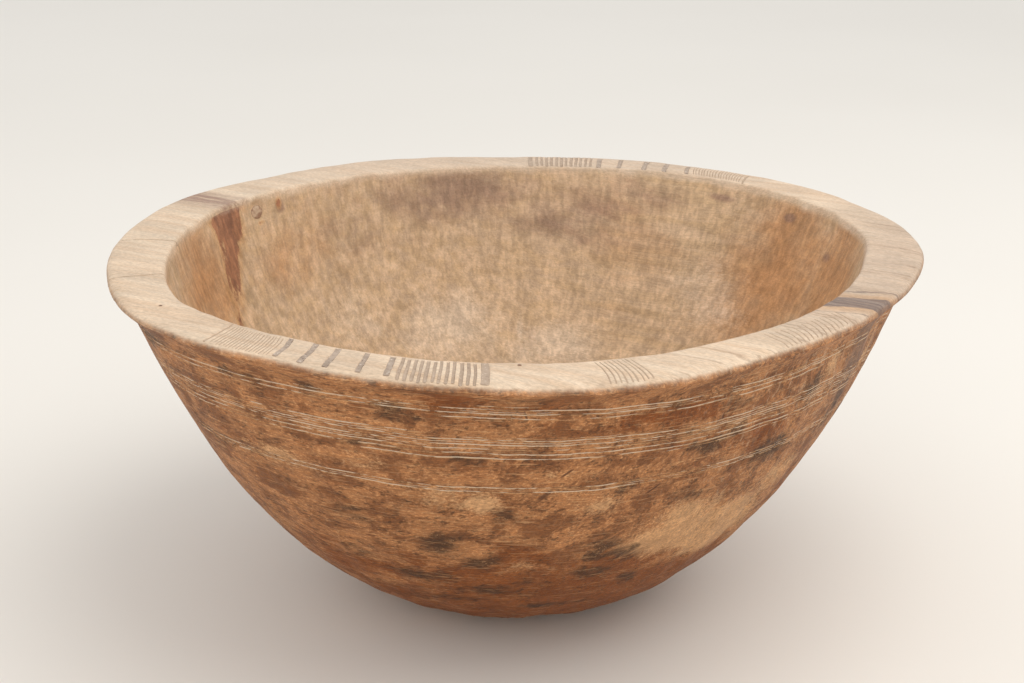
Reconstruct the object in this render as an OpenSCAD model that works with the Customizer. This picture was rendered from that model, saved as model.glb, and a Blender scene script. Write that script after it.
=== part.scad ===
// Hand-carved wooden bowl: one block of wood with a wide flat rim, bands of notches across the
// rim, incised lines round the outside, and the pale and grey matter that sits in those cuts.
// Millimetres, +Z up, origin at the middle of the flat foot, -Y is the front.

/* [Bowl] */
// Outer diameter over the lip
rim_d = 420; // [340:1:510]
// Height from the foot to the flat rim
bowl_h = 187; // [150:1:230]
// Diameter of the flat foot
foot_d = 90; // [70:1:112]
// Thickness of wood under the lowest point of the hollow
floor_t = 27; // [20:0.5:34]

/* [Rim and lip] */
// Width of the flat rim
rim_w = 29; // [24:0.5:36]
// Height of the worn outer edge of the lip
lip_edge_h = 3; // [1:0.25:5]
// Radius of the worn inner edge of the rim
rim_round = 2; // [1:0.25:4]
// How far the wall lies inside the lip where the lip starts to flare
neck_in = 10; // [6:0.5:14]
// Depth below the rim where the lip starts to flare
neck_drop = 14; // [10:0.5:15]
// Slope of the lip's underside above the horizontal, in degrees
lip_slope = 46; // [30:1:60]
// Reach of the curve along the lip's underside
lip_pull = 5; // [3:0.5:6]

/* [Outer wall] */
// Slope of the wall where it leaves the foot, in degrees
foot_slope = 12; // [8:1:20]
// Reach of the curve that leaves the foot
foot_pull = 83; // [66:1:92]
// Slope of the wall where it meets the lip, in degrees
neck_slope = 68; // [62:1:78]
// Reach of the curve that arrives at the lip
neck_pull = 82; // [66:1:90]

/* [Hollow] */
// Slope of the hollow's wall at the rim, in degrees
hollow_slope = 74; // [68:1:84]
// Reach of the curve that goes down from the rim
hollow_pull = 90; // [76:1:98]
// Reach of the curve that spreads from the middle of the hollow
bottom_pull = 116; // [90:1:120]

/* [Incised lines round the outside] */
// Depth below the rim of the first line under the lip
lip_line_drop = 16; // [14:0.25:18]
// Spacing of the two lines under the lip
lip_line_pitch = 2.2; // [1.6:0.1:3]
// Depth below the rim of the first line of the band
band_line_drop = 32.5; // [29:0.25:36]
// Spacing of the five lines of the band
band_line_pitch = 2.5; // [1.6:0.1:3]
// Depth below the rim of the upper belly line
belly_line_drop = 59.5; // [54:0.5:64]
// Spacing of the two belly lines
belly_line_pitch = 2.4; // [1.6:0.1:3]
// Width of an incised line at the wall's surface
line_w = 1.1; // [0.7:0.05:1.4]
// Depth of an incised line
line_depth = 0.8; // [0.5:0.05:1.2]
// Thickness of the chalky residue at the bottom of a line
line_fill_t = 0.45; // [0.2:0.05:0.5]

/* [Notches across the rim] */
// Width of a thick notch
bar_w = 3.2; // [2:0.1:4]
// Width of a notch of the comb
comb_w = 1.5; // [1:0.1:2]
// Width of a fine cut
fine_w = 0.7; // [0.5:0.05:1]
// Depth of the thick notches and of the comb
notch_depth = 1.2; // [0.8:0.1:2]
// Depth of the fine cuts
fine_depth = 0.7; // [0.4:0.05:1]
// Thickness of the grey fill in the thick notches and the comb
notch_fill_t = 0.8; // [0.4:0.05:0.8]
// Thickness of the grey dust in the fine cuts
fine_fill_t = 0.35; // [0.2:0.05:0.4]
// Plain wood left between a notch and the rim's inner edge
notch_margin = 3; // [2.5:0.5:6]
// Number of notches in a comb
comb_count = 12; // [6:1:14]
// Number of thick notches after a comb
bar_count = 5; // [2:1:5]
// Number of fine cuts in a fan
fan_count = 18; // [8:1:20]
// Number of fine cuts in the small group right of the front
small_count = 9; // [4:1:12]
// Number of fine cuts in the fan at the right
side_count = 16; // [8:1:18]
// Number of short nicks in each row on the lip's outer edge
nick_count = 8; // [3:1:10]

/* [Knots] */
// Diameter of the hole that holds the dead knot
knot_hole_d = 8; // [5:0.25:9]
// Gap round the shrunken knot
knot_gap = 0.3; // [0.15:0.05:0.6]
// Depth of the dead knot's hole
knot_depth = 8; // [5:0.5:10]
// Depth of the knot's middle below the rim
knot_drop = 9; // [8:0.25:12]
// Diameter of a pin knot
pin_knot_d = 2; // [1:0.1:3]
// Depth of a pin knot
pin_knot_depth = 5; // [3:0.5:8]

/* [Hidden] */
$fn = 48;
eps = 0.01;
// Reach of a cutter past the surface that it opens
over = 2;
// Segments along each curve of the outline
wall_steps = 24;
lip_steps = 8;
round_steps = 6;

rim_r = rim_d / 2;
hollow_r = rim_r - rim_w;
foot_r = foot_d / 2;
neck = [rim_r - neck_in, bowl_h - neck_drop];

// Notches are placed along the middle of the rim. Turns and slants are in degrees, turns from +X;
// pitches, gaps and lengths are in millimetres. The same three bands stand twice, half a turn apart.
pattern_turns = [0, 180];
comb_start = -94.7;
comb_pitch = 3;
comb_slant = 7;
end_bar_gap = 4.6;
bar_gap = 8;
bar_pitch = 13.6;
bar_slant = 10;
fan_gap = 6.5;
fan_pitch = 1.6;
fan_slant = 17;
small_start = -73.7;
small_pitch = 2.2;
side_start = -52;
side_pitch = 3.3;
side_slant = -10;
nick_starts = [-10, -158];
nick_pitch = 4;
nick_len = 8;
knot_turn = 144.5;
pin_knot_turns = [-89, -151];
pin_knot_in = 4;

function bezier(a, b, c, d, t) =
    pow(1 - t, 3) * a + 3 * pow(1 - t, 2) * t * b + 3 * (1 - t) * t * t * c + t * t * t * d;
function curve(a, b, c, d, steps) = [for (i = [0:steps]) bezier(a, b, c, d, i / steps)];
function along(angle, length) = length * [cos(angle), sin(angle)];

// The reaches follow the bowl's size, so that the wall keeps its belly
foot_reach = (neck[0] - foot_r) / 154.5;
neck_reach = neck[1] / 173;

// Outer wall from the foot up to the lip
wall_points = curve(
    [foot_r, 0],
    [foot_r, 0] + along(foot_slope, foot_pull * foot_reach),
    neck - along(neck_slope, neck_pull * neck_reach),
    neck,
    wall_steps
);

// Underside of the lip, out to the worn edge
lip_foot = [rim_r, bowl_h - lip_edge_h];
lip_points = curve(
    neck,
    neck + along(neck_slope, lip_pull),
    lip_foot - along(lip_slope, lip_pull),
    lip_foot,
    lip_steps
);

// Worn outer edge, a quarter ellipse that ends on the flat rim
lip_edge_points = [
    for (i = [1:round_steps])
        let (a = 90 * i / round_steps)
        [rim_r - lip_edge_h * (1 - cos(a)), bowl_h - lip_edge_h * (1 - sin(a))]
];

// Worn inner edge, a quarter circle that ends on the hollow's wall
rim_edge_points = [
    for (i = [0:round_steps])
        let (a = 90 * i / round_steps)
        [hollow_r + rim_round * (1 - sin(a)), bowl_h - rim_round * (1 - cos(a))]
];

hollow_fall = (bowl_h - floor_t) / 160;
hollow_spread = hollow_r / 181;

// Wall of the hollow, from the rim down to the middle
hollow_top = [hollow_r, bowl_h - rim_round];
hollow_points = curve(
    hollow_top,
    hollow_top - along(hollow_slope, hollow_pull * hollow_fall),
    [bottom_pull * hollow_spread, floor_t],
    [0, floor_t],
    wall_steps
);

body_outline = concat(
    [[0, 0]],
    wall_points,
    [for (i = [1:lip_steps]) lip_points[i]],
    lip_edge_points,
    rim_edge_points,
    [for (i = [1:wall_steps]) hollow_points[i]]
);

// Radius of the outer wall at height z, and of the hollow's wall at height z
outer_table = [for (p = concat(wall_points, lip_points)) [p[1], p[0]]];
hollow_table = [for (i = [wall_steps:-1:0]) [hollow_points[i][1], hollow_points[i][0]]];
function outer_r(z) = lookup(z, outer_table);
function inner_r(z) = lookup(z, hollow_table);

// Wedge that an incised line removes, or the residue in its bottom where t is under its depth
module line_ring(drop, t) {
    z = bowl_h - drop;
    bottom_r = outer_r(z) - line_depth;
    half = line_w / 2 * t / line_depth;
    rotate_extrude($fn = 96)
        polygon([[bottom_r, z], [bottom_r + t, z - half], [bottom_r + t, z + half]]);
}

// Middle radius and length of a full notch across the flat rim
notch_in_r = hollow_r + notch_margin;
notch_out_r = rim_r - lip_edge_h;
notch_mid_r = (notch_in_r + notch_out_r) / 2;
notch_len = notch_out_r - notch_in_r;

// Angle round the rim that a distance along its middle takes
function turn_for(distance) = distance / notch_mid_r * 180 / PI;

// Block in a notch, from its bottom up by t, turned by slant about its middle
module notch(turn, width, length, slant, depth, t, mid_r) {
    rotate(turn)
        translate([mid_r, 0, bowl_h - depth])
        rotate(slant)
        translate([-length / 2, -width / 2, 0])
        cube([length, width, t]);
}

// Block with round ends, for the thick notches
module round_notch(turn, width, length, slant, depth, t) {
    straight = length - width;
    rotate(turn)
        translate([notch_mid_r, 0, bowl_h - depth])
        rotate(slant)
        linear_extrude(t)
        union() {
            square([straight, width], center = true);
            for (side = [-1, 1])
                translate([side * straight / 2, 0])
                circle(d = width, $fn = 24);
        }
}

// Where each band of notches starts, one after the other round the rim
bar_start = comb_start - turn_for((comb_count - 1) * comb_pitch + bar_gap);
fan_start = bar_start - turn_for((bar_count - 1) * bar_pitch + fan_gap);

module comb_notches(turn, t) {
    for (i = [0:comb_count - 1])
        notch(turn + comb_start - turn_for(i * comb_pitch), comb_w, notch_len, comb_slant, notch_depth, t,
            notch_mid_r);
    round_notch(turn + comb_start + turn_for(end_bar_gap), bar_w, notch_len, comb_slant, notch_depth, t);
}

module bar_notches(turn, t) {
    for (i = [0:bar_count - 1])
        round_notch(turn + bar_start - turn_for(i * bar_pitch), bar_w, notch_len, bar_slant, notch_depth, t);
}

module fan_notches(turn, t) {
    for (i = [0:fan_count - 1])
        fine_cut(turn + fan_start - turn_for(i * fan_pitch), fan_slant, t);
}

module small_notches(t) {
    for (i = [0:small_count - 1])
        fine_cut(small_start - turn_for(i * small_pitch), 0, t);
}

module side_notches(t) {
    for (i = [0:side_count - 1])
        fine_cut(side_start + turn_for(i * side_pitch), side_slant, t);
}

module fine_cut(turn, slant, t) {
    notch(turn, fine_w, notch_len, slant, fine_depth, t, notch_mid_r);
}

// Short nicks in the lip's outer edge
module nicks() {
    for (start = nick_starts, i = [0:nick_count - 1])
        notch(start - turn_for(i * nick_pitch), fine_w, nick_len + over, 0, fine_depth, fine_depth + over,
            rim_r - nick_len / 2);
}

// Line along the dead knot's axis, which points into the wall from the hollow
module knot_axis() {
    rotate(knot_turn)
        translate([inner_r(bowl_h - knot_drop), 0, bowl_h - knot_drop])
        rotate([0, 90, 0])
        children();
}

module pin_knot_shapes(top) {
    for (turn = pin_knot_turns)
        rotate(turn)
        translate([hollow_r + pin_knot_in, 0, bowl_h - pin_knot_depth])
        cylinder(d = pin_knot_d, h = top);
}

// Depth below the rim of every incised line, in three groups
lip_drops = [for (i = [0:1]) lip_line_drop + i * lip_line_pitch];
band_drops = [for (i = [0:4]) band_line_drop + i * band_line_pitch];
belly_drops = [for (i = [0:1]) belly_line_drop + i * belly_line_pitch];

module bowl_body() {
    color("peru")
        difference() {
            rotate_extrude($fn = 96)
                polygon(body_outline);
            for (drop = concat(lip_drops, band_drops, belly_drops))
                line_ring(drop, line_depth + over);
            for (turn = pattern_turns) {
                comb_notches(turn, notch_depth + over);
                bar_notches(turn, notch_depth + over);
                fan_notches(turn, fine_depth + over);
            }
            small_notches(fine_depth + over);
            side_notches(fine_depth + over);
            nicks();
            knot_axis()
                translate([0, 0, -knot_depth])
                cylinder(d = knot_hole_d, h = 2 * knot_depth);
            pin_knot_shapes(pin_knot_depth + over);
        }
}

// Loose plug that stands on the bottom of its hole, with a dark gap all round
module dead_knot() {
    color("dimgray")
        knot_axis()
        translate([0, 0, knot_gap])
        cylinder(d = knot_hole_d - 2 * knot_gap, h = knot_depth - knot_gap);
}

module rim_pin_knots() {
    color("saddlebrown")
        pin_knot_shapes(pin_knot_depth - eps);
}

module grey_fill() {
    color("darkgray")
        children();
}

module line_fill(drop) {
    color("wheat")
        line_ring(drop, line_fill_t);
}

bowl_body();
dead_knot();
rim_pin_knots();
grey_fill() comb_notches(pattern_turns[0], notch_fill_t);  // front_comb_fill
grey_fill() bar_notches(pattern_turns[0], notch_fill_t);  // front_bar_fill
grey_fill() fan_notches(pattern_turns[0], fine_fill_t);  // front_fan_fill
grey_fill() comb_notches(pattern_turns[1], notch_fill_t);  // back_comb_fill
grey_fill() bar_notches(pattern_turns[1], notch_fill_t);  // back_bar_fill
grey_fill() fan_notches(pattern_turns[1], fine_fill_t);  // back_fan_fill
grey_fill() small_notches(fine_fill_t);  // small_group_fill
grey_fill() side_notches(fine_fill_t);  // side_fan_fill
for (i = [0:1])
    line_fill(lip_drops[i]);
for (i = [0:4])
    line_fill(band_drops[i]);
for (i = [0:1])
    line_fill(belly_drops[i]);
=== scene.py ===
"""A hand-carved wooden bowl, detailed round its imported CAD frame.

The bowl is one carved mesh: a profile swept round the bowl's axis on a grid of rows and columns.
The rows follow the incised lines and the columns follow the notches across the rim, so every cut
is real geometry. Matter that sits in the cuts, and the knots, are pieces of their own.
"""
import math

import bpy
import numpy as np
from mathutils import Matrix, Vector


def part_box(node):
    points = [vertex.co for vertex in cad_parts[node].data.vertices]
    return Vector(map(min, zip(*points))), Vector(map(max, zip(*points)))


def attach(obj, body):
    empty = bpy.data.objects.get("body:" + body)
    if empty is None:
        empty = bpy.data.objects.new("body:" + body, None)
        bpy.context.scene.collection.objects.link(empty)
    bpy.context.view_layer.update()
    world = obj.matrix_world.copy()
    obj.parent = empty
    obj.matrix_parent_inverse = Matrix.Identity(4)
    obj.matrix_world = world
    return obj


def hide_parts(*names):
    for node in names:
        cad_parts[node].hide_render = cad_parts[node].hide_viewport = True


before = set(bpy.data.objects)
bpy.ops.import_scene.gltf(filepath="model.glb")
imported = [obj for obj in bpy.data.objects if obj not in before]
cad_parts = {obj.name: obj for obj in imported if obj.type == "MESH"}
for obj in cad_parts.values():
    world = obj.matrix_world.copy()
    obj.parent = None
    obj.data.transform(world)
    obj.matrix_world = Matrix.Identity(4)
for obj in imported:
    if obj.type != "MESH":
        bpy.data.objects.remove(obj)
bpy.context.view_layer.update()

MM = 0.001
BODY = "root"

# -------- sizes, in metres
body_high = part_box("bowl_body")[1]
RIM_R = body_high.x
BOWL_H = body_high.z
RIM_W = 29 * MM
HOLLOW_R = RIM_R - RIM_W
FOOT_R = 45 * MM
FLOOR_T = 27 * MM
LIP_IN, LIP_DROP = 10 * MM, 14 * MM
EDGE_H = 3 * MM
ROUND_R = 2 * MM
# The dead knot's radius, and how far its middle and the pin knots lie from the rim's inner edge
KNOT_R, KNOT_S = 4.1 * MM, 7.2 * MM
PIN_IN = (4 * MM, 13 * MM)
# Distances down the wall over which the rim's unevenness dies away
UNEVEN_FALL, HOLLOW_FALL = 45 * MM, 60 * MM

# Directions in plan, in degrees from +X; -90 is the front
GRAIN_TURN = -30
COMB_START = -94.7
SMALL_START = -73.7
SIDE_START = -52
KNOT_TURN = 146
PIN_TURNS = (-89, -149)
WORN_TURN = -84
CHECK_TURNS = (176.5, -164.5)
# Steps between the grid's columns, in degrees, and rows, in metres
COLUMN_STEP = 0.5
WALL_STEP = 2.4 * MM


# -------- noise and curves
def hash01(ix, iy, iz, seed):
    """A fixed pseudo-random number from 0 to 1 for each lattice point."""
    n = (ix * 374761393 + iy * 668265263 + iz * 2147483647 + seed * 1274126177) & 0xFFFFFFFF
    n = ((n ^ (n >> 13)) * 1274126177) & 0xFFFFFFFF
    return ((n ^ (n >> 16)) & 0xFFFFFF) / float(0xFFFFFF)


def noise(x, y, z, seed=0):
    """Smooth value noise from -1 to 1, one lattice cell to a unit."""
    x, y, z = np.broadcast_arrays(x, y, z)
    cells = [np.floor(v).astype(np.int64) for v in (x, y, z)]
    parts = [v - c for v, c in zip((x, y, z), cells)]
    fx, fy, fz = [p * p * p * (p * (p * 6 - 15) + 10) for p in parts]
    total = 0
    for dx in (0, 1):
        for dy in (0, 1):
            for dz in (0, 1):
                weight = (fx if dx else 1 - fx) * (fy if dy else 1 - fy) * (fz if dz else 1 - fz)
                total = total + weight * hash01(cells[0] + dx, cells[1] + dy, cells[2] + dz, seed)
    return total * 2 - 1


def fractal(x, y, z, seed=0, octaves=3):
    total, size = 0, 1.0
    for k in range(octaves):
        total = total + noise(x * 2**k, y * 2**k, z * 2**k, seed + 17 * k) * size
        size *= 0.5
    return total


def smooth(low, high, x):
    t = np.clip((np.asarray(x, float) - low) / (high - low), 0, 1)
    return t * t * (3 - 2 * t)


def bump(x, middle, half):
    """1 at the middle, falling smoothly to 0 at half on either side."""
    return smooth(half, 0, np.abs(np.asarray(x, float) - middle))


def cos_sin(turn):
    """Cosine and sine of a direction in degrees."""
    a = np.radians(turn)
    return np.cos(a), np.sin(a)


def turn_gap(a, b):
    """Signed difference between two directions in degrees, from -180 to 180."""
    return (np.asarray(a, float) - b + 180) % 360 - 180


def round_trip(points):
    """A smooth function of direction, in degrees, through (direction, value) points."""
    at = np.array([p[0] for p in points], float)
    value = np.array([p[1] for p in points], float)
    at = np.concatenate([at - 360, at, at + 360])
    value = np.tile(value, 3)
    fine = np.arange(-540, 540, 0.5)
    raw = np.interp(fine, at, value)
    window = np.hanning(25)
    soft = np.convolve(raw, window / window.sum(), "same")
    return lambda turn: np.interp((np.asarray(turn, float) + 180) % 360 - 180, fine, soft)


def bezier(a, b, c, d, t):
    t = np.asarray(t, float)[:, None]
    a, b, c, d = (np.array(p, float) for p in (a, b, c, d))
    return (1 - t) ** 3 * a + 3 * (1 - t) ** 2 * t * b + 3 * (1 - t) * t * t * c + t**3 * d


def along(slope, length):
    return np.array([math.cos(math.radians(slope)), math.sin(math.radians(slope))]) * length


# -------- shape of the bowl
# The carver's eye made it: how far the rim's outer and inner edges leave true circles, in mm
OUTER_WOBBLE = round_trip([
    (-167, -2), (-150, -1.5), (-136, -4), (-122, -8), (-106, -5), (-94, -1), (-82, 2), (-70, -1),
    (-56, -9), (-42, -10), (-28, -8.5), (-14, -2.5), (0, 6.5), (15, 10), (30, 8), (46, 8), (61, 8),
    (78, 6), (92, 3), (106, 6), (122, 4), (136, 2), (154, 6), (172, 2),
])
INNER_WOBBLE = round_trip([
    (-176, -3), (-150, 1), (-134, -4), (-120, -5), (-102, -2), (-84, 0), (-70, -2), (-54, -5),
    (-34, -5), (-20, -3), (-6, 1), (5, 8.5), (18, 11), (36, 11), (55, 12), (68, 8), (80, 2), (98, 0),
    (116, -3), (128, -4), (156, 0), (170, -2),
])
# How far the rim lies above or below one level, in mm
LIFT = round_trip([
    (-150, -0.5), (-90, 0), (-30, -0.5), (0, 0.5), (30, 2), (60, 1.5), (90, 1.5), (120, 3.2), (150, 3),
    (170, 1.5),
])
# How much the notches lean from straight across the rim, in degrees, and how much they bow, in mm
SLANT = round_trip([
    (-165, 0), (-150, 6), (-136, 21), (-126, 21), (-118, 13), (-107, 11), (-96, 6), (-88, 0), (-81, 1),
    (-73, 7), (-66, 0), (-56, -4), (-50, -6), (-46, -24), (-36, -26), (-29, 0), (-12, 0), (30, 6),
    (44, 21), (54, 21), (62, 13), (73, 11), (84, 6), (92, 0),
])
BOW = round_trip([
    (-165, 0), (-136, 2.2), (-126, 2.2), (-110, 0.2), (-96, 0.6), (-86, 0.9), (-76, 1.4), (-66, 0),
    (-56, 1.2), (-36, 1.8), (-24, 0), (44, 2.2), (54, 2.2), (72, 0.2), (84, 0.6), (95, 0),
])


class Notch:
    """A cut across the rim.

    Start and end are shares of the rim's width from its inner edge, node is the CAD body that
    fills it, fill is how thick the matter lies, and tone is how strong the cut's painted shade is.
    """

    def __init__(self, turn, width, depth, start=0.08, end=1.0, node=None, fill=0.0, tone=1.0):
        self.turn, self.width, self.depth, self.tone = turn, width * MM, depth * MM, tone
        self.start, self.end, self.node, self.fill = start, end, node, fill * MM


MID_R = (RIM_R + HOLLOW_R) / 2


def turn_for(mm):
    """Degrees round the rim's middle that a distance takes."""
    return math.degrees(mm * MM / MID_R)


def rim_notches(rng):
    """Every notch, band by band as in the CAD model, each spaced, cut and worn by hand."""
    found = []

    def put(turn, width, depth, node=None, fill=0.0, start=0.08, end=1.0, stray=0.12):
        found.append(Notch(
            turn + turn_for(rng.normal(0, stray)), width * rng.uniform(0.85, 1.15),
            depth * rng.uniform(0.8, 1.15), start + rng.uniform(-0.03, 0.03),
            end + rng.uniform(-0.02, 0.02), node, fill,
        ))

    for side, half in (("front", 0), ("back", 180)):
        comb = COMB_START + half
        put(comb + turn_for(4.2), 3.5, 0.7, f"{side}_comb_fill", 0.55, 0.06, 0.93)
        for i in range(12):
            put(comb - turn_for(3 * i), 1.5, 0.75, f"{side}_comb_fill", 0.5, 0.07, 0.95)
        # The bars were spaced by eye
        for place in (38, 51.1, 67.4, 80.4, 94.6):
            put(comb - turn_for(place), 2.9, 0.8, f"{side}_bar_fill", 0.6, 0.06, 0.9)
        fan = comb - turn_for(99)
        for i in range(18):
            put(fan - turn_for(1.9 * i), 0.75, 0.42, f"{side}_fan_fill", 0.22, 0.12, 0.93)
        put(fan - turn_for(1.9 * 18 + 1.2), 1.3, 0.6, f"{side}_fan_fill", 0.4, 0.06, 0.93)
    for i in range(9):
        put(SMALL_START - turn_for(2.2 * i), 0.8, 0.42, "small_group_fill", 0.22, 0.08, 0.92)
    for i in range(16):
        put(SIDE_START + turn_for(3.5 * i), 0.85, 0.45, "side_fan_fill", 0.2, 0.2 + 0.012 * i, 0.95)
    for start in (-10, -158):
        for i in range(8):
            put(start - turn_for(4 * i), 0.8, 0.4, None, 0, 0.78, 1.05)
    # The drying checks get twice the notches' painted shade
    for turn in CHECK_TURNS:
        found.append(Notch(turn, 1.1, 0.9, -0.05, 1.05, tone=2.0))
    return sorted(found, key=lambda n: n.turn % 360)


class Line:
    """An incised line round the outside, with the directions between which it was cut."""

    def __init__(self, drop, node, seed, first=None, last=None, width=0.8, depth=0.42):
        self.drop, self.node, self.seed = drop, node, seed
        self.first, self.last, self.width, self.depth = first, last, width * MM, depth * MM

    def wander(self, turn):
        """How far the line strays down the wall, in mm."""
        c, s = cos_sin(turn)
        shared = noise(c * 3.1, s * 3.1, self.drop * 0.02, 5)
        return 0.55 * shared + 0.14 * noise(c * 9, s * 9, self.seed * 0.6, 6)

    def strength(self, turn):
        """How deep the line is cut, from 0 to 1: it fades, breaks and starts again."""
        c, s = cos_sin(turn)
        broken = -0.25 if self.width < 0.6 * MM else -0.6
        cut = smooth(broken - 0.5, broken, fractal(c * 7, s * 7, self.seed * 1.7, 40, 2))
        if self.first is not None:
            length = (self.last - self.first) % 360
            into = (np.asarray(turn, float) - self.first) % 360
            cut = cut * smooth(0, 3, into) * smooth(length, length - 3, into) * (into <= length)
        return cut

    def chalk(self, turn):
        """How much residue stays in the line, from 0 to 1."""
        c, s = cos_sin(turn)
        patch = fractal(c * 9, s * 9, self.seed * 2.3, 70, 2)
        crumbs = fractal(c * 70, s * 70, self.seed * 1.3, 71, 2)
        scarce = 0.35 if self.width < 0.6 * MM else 0.0
        return smooth(scarce - 0.85, scarce + 0.75, patch + 0.85 * crumbs) * self.strength(turn)


# Each residue piece's lines: mm below the rim, seed, then the directions and size if not plain
LINE_CUTS = {
    "lip_line_fill_1": ((13.6, 12, -128, -84, 0.5, 0.2), (15.6, 1), (16.8, 13, -110, -30, 0.4, 0.2)),
    "lip_line_fill_2": ((18.0, 2), (20.3, 3, -100, -40, 0.7, 0.3)),
    "band_line_fill_1": (
        (29.6, 4, 170, -101, 0.9), (30.9, 14, 160, -40, 0.4, 0.2),
        (32.2, 5), (33.5, 15, -150, 40, 0.4, 0.2),
    ),
    "band_line_fill_2": ((34.8, 6), (36.0, 16, -120, 20, 0.4, 0.2)),
    "band_line_fill_3": ((37.2, 7), (38.5, 17, -96, 60, 0.4, 0.2)),
    "band_line_fill_4": ((39.7, 8),),
    "band_line_fill_5": ((42.3, 9, -112, 168), (44.0, 18, -70, -10, 0.5, 0.25)),
    "belly_line_fill_1": ((59.2, 10), (60.4, 19, -140, 30, 0.4, 0.2)),
    "belly_line_fill_2": ((61.7, 11),),
}
LINES = [Line(cut[0], node, *cut[1:]) for node, cuts in LINE_CUTS.items() for cut in cuts]


def wall_curve():
    lip = np.array([RIM_R - LIP_IN, BOWL_H - LIP_DROP])
    return bezier(
        [FOOT_R, 0], np.array([FOOT_R, 0]) + along(12, 83 * MM), lip - along(68, 82 * MM), lip,
        np.linspace(0, 1, 200),
    )


def lip_curve():
    lip = np.array([RIM_R - LIP_IN, BOWL_H - LIP_DROP])
    edge = np.array([RIM_R, BOWL_H - EDGE_H])
    return bezier(lip, lip + along(68, 5 * MM), edge - along(46, 5 * MM), edge, np.linspace(0, 1, 30))


def hollow_curve():
    top = np.array([HOLLOW_R, BOWL_H - ROUND_R])
    return bezier(
        top, top - along(74, 90 * MM), [116 * MM, FLOOR_T], [0, FLOOR_T], np.linspace(0, 1, 200)
    )


class Profile:
    """One side of the bowl's section, looked up by arc length from its upper end."""

    def __init__(self, points, facing):
        step = np.hypot(*np.diff(points, axis=0).T)
        self.s = np.concatenate([[0], np.cumsum(step)])
        self.r, self.z = points[:, 0], points[:, 1]
        slope = np.gradient(points, axis=0)
        slope /= np.hypot(*slope.T)[:, None]
        self.nr, self.nz = facing * slope[:, 1], -facing * slope[:, 0]

    def at(self, s):
        return [np.interp(s, self.s, values) for values in (self.r, self.z, self.nr, self.nz)]

    def at_drop(self, drop):
        """Arc length at which the profile lies this far below the rim."""
        return np.interp(drop, BOWL_H - self.z, self.s)


OUTER = Profile(np.concatenate([wall_curve(), lip_curve()[1:]])[::-1], -1)
INNER = Profile(hollow_curve(), 1)

# Cross-section of an incised line: offset from its middle and depth, as shares of its size
LINE_SECTION = ((-0.75, 0), (-0.42, 0.25), (-0.12, 1), (0.12, 1), (0.42, 0.25), (0.75, 0))
# Cross-sections of notches, the same way, for the widest and the narrower ones
WIDE_SECTION = ((-1, 0.7), (-0.6, 1), (-0.2, 1), (0.2, 1), (0.6, 1), (1, 0.7))
COMB_SECTION = ((-1, 0.6), (-0.5, 1), (0.5, 1), (1, 0.6))
FINE_SECTION = ((-1, 0.35), (0, 1), (1, 0.35))


def section_of(notch):
    if notch.width > 2 * MM:
        return WIDE_SECTION
    return COMB_SECTION if notch.width > 1 * MM else FINE_SECTION


# -------- surfaces
def rim_wear(turn):
    """How far the lip's worn outer edge falls below the rim, in metres."""
    c, s = cos_sin(turn)
    front = bump(turn_gap(turn, WORN_TURN), 0, 60)
    return (0.6 + 0.45 * fractal(c * 4, s * 4, 0.3, 90) + 0.9 * front) * MM


def rim_height(across):
    """How far the rim's rounded edges fall below its top, in metres."""
    inner = max(0.0, 1 - across * RIM_W / ROUND_R)
    outer = max(0.0, 1 - (1 - across) * RIM_W / EDGE_H)
    return ROUND_R * (1 - math.sqrt(1 - inner**2)) + EDGE_H * (1 - math.sqrt(1 - outer**2))


def rim_point(across, turn, cut):
    """A point on the top of the rim, cut metres below it."""
    c, s = cos_sin(turn)
    wobble = OUTER_WOBBLE(turn) * across + INNER_WOBBLE(turn) * (1 - across)
    r = HOLLOW_R + across * RIM_W + wobble * MM
    z = BOWL_H + LIFT(turn) * MM - rim_height(across)
    z = z - rim_wear(turn) * smooth(0.62, 1.0, across) ** 1.5
    flake = bump(turn_gap(turn, WORN_TURN), 0, 40) * smooth(0.8, 0.97, across)
    z = z - flake * np.abs(noise(c * 90, s * 90, across * 6, 8)) * 0.5 * MM
    z = z + (0.26 * fractal(c * 14, s * 14, across * 2, 3) - 0.1) * MM - cut
    return np.stack([r * c, r * s, z], 1)


def line_slide(drop, turn):
    """How far down the wall the surface follows the wandering of the lines near it."""
    stops = [8 * MM] + [line.drop * MM for line in LINES] + [72 * MM]
    k = int(np.clip(np.searchsorted(stops, np.mean(drop), "right") - 1, 0, len(stops) - 2))
    last = len(stops) - 1
    ways = [LINES[i - 1].wander(turn) * MM if 0 < i < last else 0 * turn for i in (k, k + 1)]
    t = np.clip((np.mean(drop) - stops[k]) / (stops[k + 1] - stops[k]), 0, 1)
    return ways[0] * (1 - t) + ways[1] * t


def wall_point(drop, turn, cut, slide=None):
    """A point on the outside, cut metres under the surface."""
    c, s = cos_sin(turn)
    drop = drop + (line_slide(drop, turn) if slide is None else slide)
    r, z, nr, nz = OUTER.at(OUTER.at_drop(np.maximum(drop, EDGE_H)))
    fall = np.exp(-drop / UNEVEN_FALL)
    r = r + OUTER_WOBBLE(turn) * MM * fall
    z_worn = z + LIFT(turn) * MM * fall - rim_wear(turn) * smooth(17 * MM, EDGE_H, drop)
    carved = 0.2 + 0.8 * bump(turn_gap(turn, -30), 0, 75)
    push = fractal(c * 5, s * 5, z / (60 * MM), 11) * 0.7
    push = push + noise(c * 19, s * 19, z / (75 * MM), 12) * 0.75 * carved
    push = push + fractal(c * 46, s * 46, z / (7 * MM), 13, 2) * 0.13
    push = push * MM * smooth(0, 12 * MM, z) * smooth(EDGE_H, 11 * MM, drop) - cut
    r, z_worn = r + push * nr, z_worn + push * nz
    return np.stack([r * c, r * s, z_worn], 1)


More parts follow.
